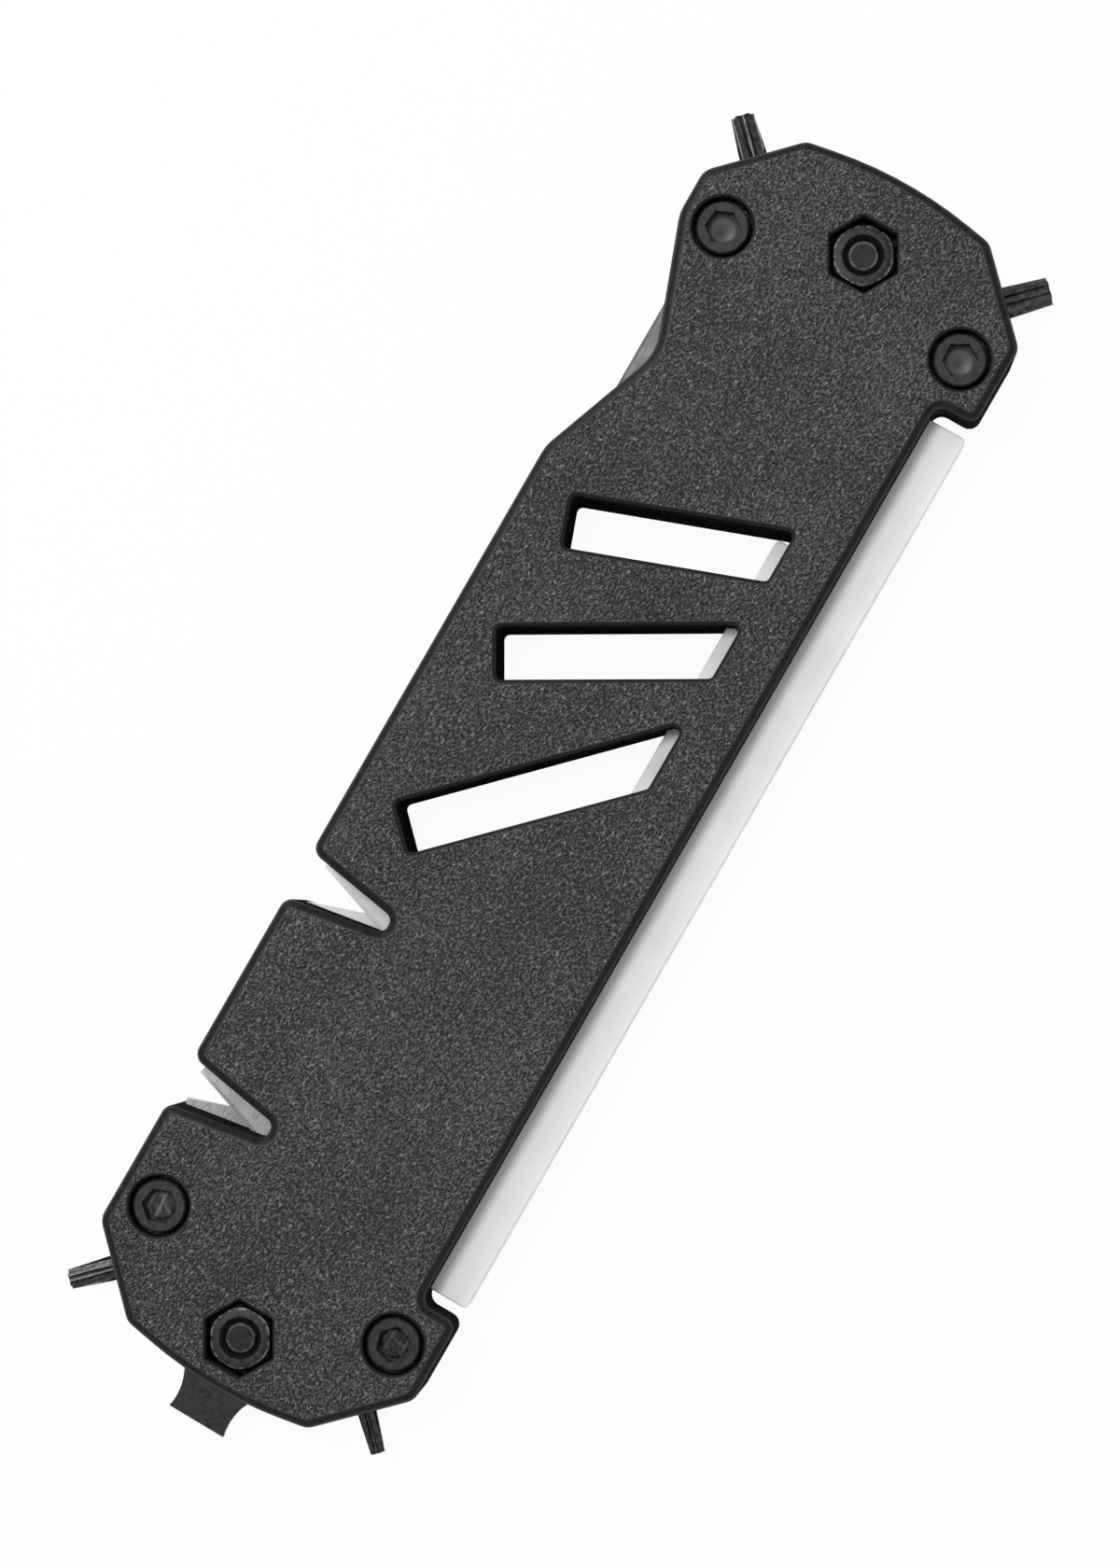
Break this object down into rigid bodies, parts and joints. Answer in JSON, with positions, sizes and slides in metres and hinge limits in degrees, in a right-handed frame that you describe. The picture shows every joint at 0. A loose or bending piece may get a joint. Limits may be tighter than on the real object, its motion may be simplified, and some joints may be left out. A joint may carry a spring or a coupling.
{
  "type": "pull through knife sharpener",
  "caption": "Flat two-scale hand tool with V-notch sharpening inserts, an edge-mounted ceramic hone, slanted windows, star bits at its corners and a flat driver at its tail.",
  "frame": {"origin": "under the middle of the whole tool, on its flat rear face", "axes": "+X along the tool towards the neck end, +Y towards the notched edge, +Z out of the front face with the nuts"},
  "size_m": [0.1696, 0.0446, 0.013],
  "materials": {
    "handle": "moulded texture",
    "white_ceramic": "fired, unglazed",
    "carbide": "ground sintered carbide",
    "bare_steel": "brushed",
    "black_steel": "black oxide",
    "fastener": "black oxide, satin"
  },
  "bodies": {
    "tool": {"front_scale": "handle", "rear_scale": "handle", "ceramic_hone": "white_ceramic", "ceramic_insert_front": "white_ceramic", "ceramic_insert_rear": "white_ceramic", "carbide_insert_front": "carbide", "carbide_insert_rear": "carbide", "neck_plate": "bare_steel", "flat_driver": "black_steel", "star_bit_6": "black_steel", "star_bit_8": "black_steel", "star_bit_10": "black_steel", "star_bit_15": "black_steel", "head_bolt": "fastener", "head_nut": "fastener", "tail_bolt": "fastener", "tail_nut": "fastener", "barrel_nut_head_left": "fastener", "barrel_nut_head_right": "fastener", "barrel_nut_tail_left": "fastener", "barrel_nut_tail_right": "fastener", "barrel_screw_head_left": "fastener", "barrel_screw_head_right": "fastener", "barrel_screw_tail_left": "fastener", "barrel_screw_tail_right": "fastener"}
  },
  "joints": []
}
